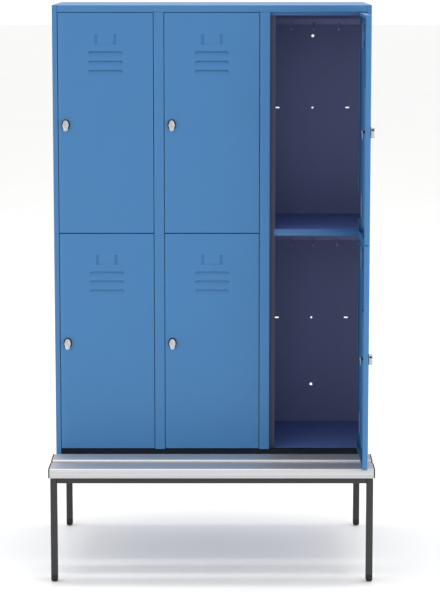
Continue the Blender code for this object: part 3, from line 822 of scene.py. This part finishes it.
def lock_housing():
    """The oval rosette with its rolled edge, the neck through the sheet, and the nut and barrel behind."""
    edge = ROSETTE / 2
    rim = ROSETTE_RADIUS - edge
    profile = [(ROSETTE_FRONT, SPINDLE)]
    profile += [(ROSETTE_FRONT + edge - b, rim + a) for a, b in arc((0, 0), edge, 90, 0, 5)]
    nut_front = FACE + SHEET
    profile += [(FACE, ROSETTE_RADIUS), (FACE, NECK), (nut_front, NECK)]
    profile.append((nut_front, SPINDLE))
    housing = to_object(turned(profile, BACKWARD, ROSETTE_SIDES), "housing", PLASTIC)
    housing.data.transform(Matrix.Diagonal((1, 1, ROSETTE_OVAL, 1)))
    nut_back = nut_front + NUT
    nut = turned(((nut_front, NUT_RADIUS), (nut_back, NUT_RADIUS)), BACKWARD, NUT_SIDES)
    end = CAM[0][1] - SHEET / 2
    neck = ((nut_back, BARREL), (end - SHEET, BARREL), (end, BARREL - SHEET))
    barrel = turned(neck, BACKWARD, NECK_SIDES)
    pieces = (rounded(to_object(nut, "nut", PLASTIC), NUT_EDGE), to_object(barrel, "barrel", PLASTIC))
    return merge(housing, *pieces)


def lock_eye_block():
    """The black block that fills the padlock eye."""
    (front, back), (low, high) = EYE
    seat = EYE_BLOCK_SEAT
    shape = block((-EYE_BLOCK_HALF, front - seat, low - seat), (EYE_BLOCK_HALF, back + seat, high + seat))
    return to_object(shape, "eye_block", BLACK)


def lock_handle():
    """The turning handle with its padlock eye, the spindle, the cam and the screw that holds it."""
    foot = (0.0, HANDLE_CORNERS[0][1])
    mirrored = [(-x, z) for x, z in reversed(HANDLE_CORNERS)]
    outline = filleted([foot, *HANDLE_CORNERS, *mirrored, foot], HANDLE_FILLET)[:-1]
    handle = to_object(ribbon(outline, "Y", HANDLE_FRONT, HANDLE_BACK, closed=True), "handle", ZINC)
    (eye_front, eye_back), (eye_low, eye_high) = EYE
    reach = ROSETTE_RADIUS
    eye = to_object(block((-reach, eye_front, eye_low), (reach, eye_back, eye_high)), "eye", ZINC)
    eye = rounded(eye, EYE_EDGE)
    boolean = handle.modifiers.new("eye", "BOOLEAN")
    boolean.operation = "DIFFERENCE"
    boolean.object = eye
    applied(handle)
    bpy.data.objects.remove(eye)
    rounded(handle, HANDLE_ROUND, 4)
    back = CAM[1][1]
    spindle = turned(((HANDLE_BACK, SPINDLE), (back, SPINDLE)), BACKWARD, ROD_SIDES)
    cam = rounded(to_object(block(*CAM), "cam", ZINC), CAM_EDGE, 2)
    edge = SCREW_HEAD / 3
    head = ((back, SCREW), (back + SCREW_HEAD - edge, SCREW), (back + SCREW_HEAD, SCREW - edge))
    screw = to_object(turned(head, BACKWARD, ROD_SIDES), "screw", ZINC)
    return merge(handle, to_object(spindle, "spindle", ZINC), cam, screw)


def make_locks():
    """Fits each door with a housing, a turning handle and the black block in the handle's eye."""
    housing = lock_housing()
    handle = lock_handle()
    eye_block = lock_eye_block()
    for place, matrix in door_places():
        here = matrix @ Matrix.Translation((LOCK_X, 0, LOCK_Z))
        rosette = twin(housing, f"lock_{place}_rosette")
        rosette.matrix_world = here
        stand_for(rosette, f"door_{place}", "black_plastic", f"lock_housing_{place}")
        knob = twin(handle, f"lock_{place}_knob")
        knob.matrix_world = here
        stand_for(knob, f"lock_{place}", "zinc", f"lock_handle_{place}")
        inside = twin(eye_block, f"lock_{place}_liner")
        inside.matrix_world = here
        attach(inside, f"lock_{place}")
    for pattern in (housing, handle, eye_block):
        bpy.data.objects.remove(pattern)


make_locks()


# Face frame

FRAME_LOW, FRAME_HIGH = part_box("front_frame")
FRONT = FRAME_LOW.y
FRAME_DEPTH = 0.021
FRAME_BEND = 0.0017
POST = 0.0188
POST_LIP = 0.005
STILE_LIP = 0.008
TOP_RAIL = 0.0256
TOP_RETURN = 0.008
STOP_DROP = 0.0128
SHELF_LOW, SHELF_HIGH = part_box("shelf_left")
RAIL = (SHELF_LOW.z, SHELF_HIGH.z)  # the rails between the tiers are as tall as the shelves
RAIL_START = 0.0343
RAIL_TAB = (0.0180, 0.0142)
SEAM = 0.0004
BLOCK_EDGE = 0.0004
PITCH = (FRAME_HIGH.x - FRAME_LOW.x) / len(COLUMNS)


def folded(path, axis, low, high, material, wall=SHEET, bend=FRAME_BEND):
    """A strip of sheet folded along a path that runs in the middle of its thickness."""
    strip = to_object(ribbon(filleted(path, bend), axis, low, high), "strip", material)
    return thickened(strip, wall, 0.0)


def upright(left, right, lip, low, high):
    """A post or stile: a C of sheet, open at the back between its two lips."""
    skin = SHEET / 2
    front = FRONT + skin
    back = FRONT + FRAME_DEPTH - skin
    path = (
        (left + lip, back),
        (left + skin, back),
        (left + skin, front),
        (right - skin, front),
        (right - skin, back),
        (right - lip, back),
    )
    return folded(path, "Z", low, high, BLUE)


def plain_block(low, high, material):
    """A box with slightly softened edges."""
    return rounded(to_object(block(low, high), "block", material), BLOCK_EDGE, 2)


def make_face_frame():
    """The posts, stiles, top rail and stop rails, welded into one piece."""
    skin = SHEET / 2
    top = FRAME_HIGH.z
    rail_low = top - TOP_RAIL
    back = FRONT + FRAME_DEPTH
    stile_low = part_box("plinth_strip")[1].z + SEAM
    last = len(COLUMNS)
    pieces = []
    for index in range(last + 1):
        line = FRAME_LOW.x + PITCH * index
        left = line if index == 0 else line - POST
        right = line if index == last else line + POST
        if index in (0, last):
            pieces.append(upright(left, right, POST_LIP, FRAME_LOW.z, top))
            lid_low = (left + SHEET, FRONT + SHEET, top - SHEET)
            pieces.append(plain_block(lid_low, (right - SHEET, back - SHEET, top), BLUE))
        else:
            pieces.append(upright(left, right, STILE_LIP, stile_low, rail_low - SEAM))
    stop = FRONT + STOP + skin
    path = (
        (back - skin, top - TOP_RETURN),
        (back - skin, top - skin),
        (FRONT + skin, top - skin),
        (FRONT + skin, rail_low + skin),
        (stop, rail_low + skin),
        (stop, rail_low - STOP_DROP),
    )
    inner = FRAME_HIGH.x - POST - SEAM
    pieces.append(folded(path, "X", -inner, inner, BLUE))
    for index in range(last):
        start = FRAME_LOW.x + PITCH * index + RAIL_START
        line = FRAME_LOW.x + PITCH * (index + 1)
        tab_start, tab_end = (line - tab for tab in RAIL_TAB)
        pieces.append(plain_block((start, stop - skin, RAIL[0]), (tab_end, stop + skin, RAIL[1]), BLUE))
        pieces.append(plain_block((tab_start, back, RAIL[0]), (tab_end, stop - skin, RAIL[1]), BLUE))
    frame_piece = merge(*pieces)
    frame_piece.data.materials[0] = FRAME_BLUE
    frame_piece.name = "face_frame"
    stand_for(frame_piece, CABINET, "blue_paint", "front_frame")


make_face_frame()


# Hook rails

RAIL_STOCK = 0.0015
RAIL_TALL = 0.0225
RAIL_END = 0.018
RAIL_BEND = 0.0025
HOOK_PLACES = (-0.0925, -0.004, 0.0925)
HOOK_WIDTH = 0.008
HOOK_STOCK = 0.0025
HOOK_BEND = 0.007
HOOK_DROP = 0.016
HOOK_TIP = 0.006
HOOK_ROOT = 0.006
HOOK_EDGE = 0.0005


def make_hook_rails():
    """Under the top of each compartment, a bent rail with three hooks."""
    for place in PLACES:
        low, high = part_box(f"hook_rail_{place}")
        skin = RAIL_STOCK / 2
        far = high.y
        near = high.y - RAIL_END + skin
        under = high.z - RAIL_TALL
        path = ((low.x + skin, far), (low.x + skin, near), (high.x - skin, near), (high.x - skin, far))
        rail = folded(path, "Z", under, high.z, SLATE, RAIL_STOCK, RAIL_BEND)
        rail.name = f"rail_{place}"
        stand_for(rail, CABINET, "slate_paint", f"hook_rail_{place}")
        turn = (near - skin - HOOK_STOCK / 2 - HOOK_BEND, under - HOOK_DROP)
        run = [(turn[0] + HOOK_BEND, under + HOOK_ROOT)]
        run += arc(turn, HOOK_BEND, 0, -180, ROUND_STEPS)
        run.append((turn[0] - HOOK_BEND, under - HOOK_DROP + HOOK_TIP))
        middle = (low.x + high.x) / 2
        hooks = []
        for offset in HOOK_PLACES:
            start = middle + offset - HOOK_WIDTH / 2
            bar = to_object(ribbon(run, "X", start, start + HOOK_WIDTH), "hook", SLATE)
            hooks.append(rounded(thickened(bar, HOOK_STOCK, 0.0), HOOK_EDGE, 2))
        set_of_hooks = merge(*hooks)
        set_of_hooks.name = f"hooks_{place}"
        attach(set_of_hooks, CABINET)


make_hook_rails()


# Bench and seat

BENCH_LOW, BENCH_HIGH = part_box("bench_frame")
TUBE = 0.025
TUBE_ROUND = 0.0045
FOOT_ROUND = 0.0095
FOOT_STEPS = 8
FOOT_CORNER = 0.0012
FOOT_EDGE = 0.0008
FOOT_SEAM = (0.0015, 0.0003)  # how far below the leg's end the foot starts to narrow, and ends
SMOOTH_TUBE = 50
SMOOTH_SLAT = 28
SLAT_ROUND = 0.009
SLAT_BEAD = 0.0055
SLAT_GROOVE = 0.0008
SLAT_CORNER = 0.0008
CAP_EDGE = 0.0010
CAP_ANGLE = 60
CAP = 0.0045


def rounded_rectangle(low, high, radius, steps=4):
    """A closed path round a rectangle with arcs at its corners."""
    path = []
    corners = (
        ((high[0] - radius, high[1] - radius), 0),
        ((low[0] + radius, high[1] - radius), 90),
        ((low[0] + radius, low[1] + radius), 180),
        ((high[0] - radius, low[1] + radius), 270),
    )
    for centre, start in corners:
        path += arc(centre, radius, start, start + 90, steps)
    return path


def tube(axis, low, high):
    """A square tube with rounded corners, filling the box between two corners."""
    number = "XYZ".index(axis)
    others = [i for i in range(3) if i != number]
    start = tuple(low[i] for i in others)
    end = tuple(high[i] for i in others)
    path = rounded_rectangle(start, end, TUBE_ROUND)
    strip = ribbon(path, axis, low[number], high[number], closed=True)
    return to_object(strip, "tube", GRAPHITE, SMOOTH_TUBE)


def make_bench():
    """Four legs, two side rails and three cross rails of square tube."""
    low, high = BENCH_LOW, BENCH_HIGH
    under = high.z - TUBE
    pieces = []
    for left in (low.x, high.x - TUBE):
        right = left + TUBE
        for front in (low.y, high.y - TUBE):
            pieces.append(tube("Z", (left, front, low.z), (right, front + TUBE, high.z)))
        pieces.append(tube("Y", (left, low.y + TUBE, under), (right, high.y - TUBE, high.z)))
    for front in (low.y, FRONT, high.y - TUBE):
        pieces.append(tube("X", (low.x + TUBE, front, under), (high.x - TUBE, front + TUBE, high.z)))
    bench = merge(*pieces)
    bench.name = "bench_tubes"
    stand_for(bench, CABINET, "graphite_paint", "bench_frame")


def foot_levels(top):
    """The foot's (inset, height) pairs: a round lower edge, an upright wall and a small step at the leg."""
    levels = []
    for step in range(FOOT_STEPS + 1):
        angle = math.radians(90 * step / FOOT_STEPS)
        levels.append((FOOT_ROUND * (1 - math.sin(angle)), FOOT_ROUND * (1 - math.cos(angle))))
    levels.append((0.0, top - FOOT_SEAM[0]))
    levels.append((FOOT_EDGE, top - FOOT_SEAM[1]))
    return levels


def make_feet():
    """A plastic foot under each leg."""
    for end in ("front", "rear"):
        for side in ("left", "right"):
            node = f"foot_{end}_{side}"
            low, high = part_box(node)
            rings = []
            for inset, up in foot_levels(BENCH_LOW.z - low.z):
                start = (low.x + inset, low.y + inset)
                stop = (high.x - inset, high.y - inset)
                ring = rounded_rectangle(start, stop, max(FOOT_CORNER, TUBE_ROUND - inset / 3))
                rings.append([(x, y, low.z + up) for x, y in ring])
            foot = to_object(lofted(rings), f"{node}_cap", PLASTIC, SMOOTH_TUBE)
            stand_for(foot, CABINET, "black_plastic", node)


def slat_profile(low, high, groove):
    """The slat's outline in the YZ plane, with a bead along the lower front edge if it is grooved."""
    corner = SLAT_CORNER
    radius = SLAT_ROUND
    path = [(high.y - corner, low.z), (low.y + corner, low.z), (low.y, low.z + corner)]
    if groove:
        bead = low.z + SLAT_BEAD
        path.append((low.y, bead))
        path.append((low.y + groove, bead + groove))
        path.append((low.y + groove, bead + 2 * groove))
        path.append((low.y, bead + 3 * groove))
    path += arc((low.y + radius, high.z - radius), radius, 180, 90, ROUND_STEPS)
    path += arc((high.y - radius, high.z - radius), radius, 90, 0, ROUND_STEPS)
    path.append((high.y, low.z + corner))
    return path


def make_seat():
    """Two extruded slats with a plastic cap on each end."""
    for end in ("front", "rear"):
        node = f"seat_slat_{end}"
        low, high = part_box(node)
        bm = ribbon(slat_profile(low, high, SLAT_GROOVE), "X", low.x, high.x, closed=True)
        slat = to_object(bm, f"slat_{end}", ALUMINIUM, SMOOTH_SLAT)
        stand_for(slat, CABINET, "anodised_aluminium", node)
        for side in ("left", "right"):
            node = f"slat_cap_{end}_{side}"
            low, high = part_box(node)
            outer = (low.x, low.x + CAP) if side == "left" else (high.x - CAP, high.x)
            bm = ribbon(slat_profile(low, high, 0), "X", *outer, closed=True)
            cap = rounded(to_object(bm, f"cap_{end}_{side}", PLASTIC), CAP_EDGE, angle=CAP_ANGLE)
            stand_for(cap, CABINET, "black_plastic", node)


make_bench()
make_feet()
make_seat()


# Hinges, in the door's frame with the joint's axis at x = 0, y = 0 and the middle of the hinge at z = 0

HINGE_HALF = 0.0435
KNUCKLE_SPACE = 0.0005
HINGE_RADIUS = 0.0040
PIN_RADIUS = 0.0025
PIN_HEAD = 0.0012
HINGE_PLATE = (0.0160, 0.0175)
HINGE_REACH = 0.0285
HINGE_ARM = 0.0012


def hinge_bracket():
    """The cabinet's half of a hinge: two rolled knuckles on arms, a plate, and the pin's two heads."""
    plate_front, plate_back = HINGE_PLATE
    edge = BLOCK_EDGE
    plate_low = (-HINGE_RADIUS, plate_front, -HINGE_HALF)
    pieces = [plain_block(plate_low, (HINGE_REACH, plate_back, HINGE_HALF), BLUE)]
    for side in (-1, 1):
        near = side * (KNUCKLE_HALF + KNUCKLE_SPACE)
        far = side * HINGE_HALF
        low, high = sorted((near, far))
        profile = (
            (low, HINGE_RADIUS - edge),
            (low + edge, HINGE_RADIUS),
            (high - edge, HINGE_RADIUS),
            (high, HINGE_RADIUS - edge),
        )
        pieces.append(to_object(turned(profile, UPWARD, BARREL_SIDES), "knuckle", BLUE))
        arm_low = (-HINGE_RADIUS, 0, low)
        pieces.append(plain_block(arm_low, (-HINGE_RADIUS + HINGE_ARM, plate_front, high), BLUE))
        ends = sorted((far, side * (HINGE_HALF + PIN_HEAD)))
        pin = turned([(end, PIN_RADIUS) for end in ends], UPWARD, ROD_SIDES)
        pieces.append(to_object(pin, "pin", BLUE))
    return merge(*pieces)


def make_hinges():
    """Two brackets beside each door."""
    bracket = hinge_bracket()
    for place in PLACES:
        for level in ("bottom", "top"):
            node = f"hinge_{place}_{level}"
            low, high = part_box(node)
            pivot = JOINTS[f"door_{place}_swing"]["pos_m"]
            piece = twin(bracket, f"{node}_bracket")
            piece.location = (pivot[0], pivot[1], (low.z + high.z) / 2)
            stand_for(piece, CABINET, "blue_paint", node)
    bpy.data.objects.remove(bracket)


make_hinges()


# The remaining CAD nodes keep their shape and gain soft edges

WELD = 0.00001
FLAT_ANGLE = 0.5
EDGE_ANGLE = 40
SOFT_EDGE = 0.0004


def soften(name):
    """Joins the node's level facets and bevels its edges."""
    node = frame["nodes"][name]
    weld = node.modifiers.new("weld", "WELD")
    weld.merge_threshold = WELD
    flat = node.modifiers.new("flat", "DECIMATE")
    flat.decimate_type = "DISSOLVE"
    flat.angle_limit = math.radians(FLAT_ANGLE)
    bevel = node.modifiers.new("edges", "BEVEL")
    bevel.width = SOFT_EDGE
    bevel.segments = 2
    bevel.limit_method = "ANGLE"
    bevel.angle_limit = math.radians(EDGE_ANGLE)


SOFT_NODES = ["side_panel_left", "side_panel_right", "partition_left", "partition_right", "back_panel"]
SOFT_NODES += ["top_panel", "base_tray", "plinth_strip"]
SOFT_NODES += [f"shelf_{column}" for column in COLUMNS]
for soft_node in SOFT_NODES:
    soften(soft_node)


# Stage

FLOOR_DARK = (0.876, 0.874, 0.868)
FLOOR_LIGHT = (0.889, 0.887, 0.881)
FLOOR_HALF = 60
FLOOR_ROUGHNESS = 0.5
FLOOR_SPECULAR = 0.3
FLOOR_CLOUD = (0.8, 3.0)
SKY = 1.06
LIGHTS = {
    # name: place, target, size, power in watts
    "left": ((-4.2, -4.8, 1.0), (0, 0, 1.0), (3.0, 2.0), 56),
    "right": ((4.6, -4.2, 1.0), (0, 0, 1.0), (2.5, 2.0), 90),
    "top": ((0.0, 0.2, 9.0), (0, 0.2, 0.0), (7.2, 1.4), 340),
}
CAMERA_PLACE = (0.0448, -7.9415, 2.3131)
CAMERA_TILT = 7.421  # degrees below level
CAMERA_LENS = 127.21  # millimetres, as the sensor
CAMERA_SENSOR = 36.0
CAMERA_SHIFT = (-0.0065, -0.12)
CAMERA_FAR = 200


def make_floor():
    """A plain pale floor."""
    bm = bmesh.new()
    bmesh.ops.create_grid(bm, x_segments=1, y_segments=1, size=FLOOR_HALF)
    mesh = bpy.data.meshes.new("floor")
    bm.to_mesh(mesh)
    bm.free()
    floor = bpy.data.objects.new("floor", mesh)
    bpy.context.scene.collection.objects.link(floor)
    shader = Shader("floor", FLOOR_ROUGHNESS, specular=FLOOR_SPECULAR)
    cloud = shader.ramp(shader.noise(*FLOOR_CLOUD), *NOISE_RANGE, 0.0, 1.0)
    shader.colour(shader.mix(cloud, FLOOR_DARK, FLOOR_LIGHT))
    mesh.materials.append(shader.material)


def area_light(name, place, target, size, power):
    """A white rectangular light that faces a point."""
    data = bpy.data.lights.new(name, "AREA")
    data.shape = "RECTANGLE"
    data.size, data.size_y = size
    data.energy = power
    light = bpy.data.objects.new(name, data)
    bpy.context.scene.collection.objects.link(light)
    light.location = place
    light.rotation_euler = (Vector(target) - Vector(place)).to_track_quat("-Z", "Y").to_euler()


def make_lights():
    """A white surrounding and three soft lights."""
    world = bpy.data.worlds.new("studio")
    world.use_nodes = True
    sky = world.node_tree.nodes["Background"]
    sky.inputs["Color"].default_value = (1, 1, 1, 1)
    sky.inputs["Strength"].default_value = SKY
    bpy.context.scene.world = world
    for name, settings in LIGHTS.items():
        area_light(name, *settings)


def make_camera():
    """A long lens a little above the cabinet, looking slightly down."""
    data = bpy.data.cameras.new("camera")
    data.lens = CAMERA_LENS
    data.sensor_width = CAMERA_SENSOR
    data.shift_x, data.shift_y = CAMERA_SHIFT
    data.clip_end = CAMERA_FAR
    camera = bpy.data.objects.new("camera", data)
    bpy.context.scene.collection.objects.link(camera)
    camera.location = CAMERA_PLACE
    camera.rotation_euler = (math.radians(90 - CAMERA_TILT), 0, 0)
    bpy.context.scene.camera = camera


make_floor()
make_lights()
make_camera()
bpy.context.scene.view_settings.view_transform = "Standard"
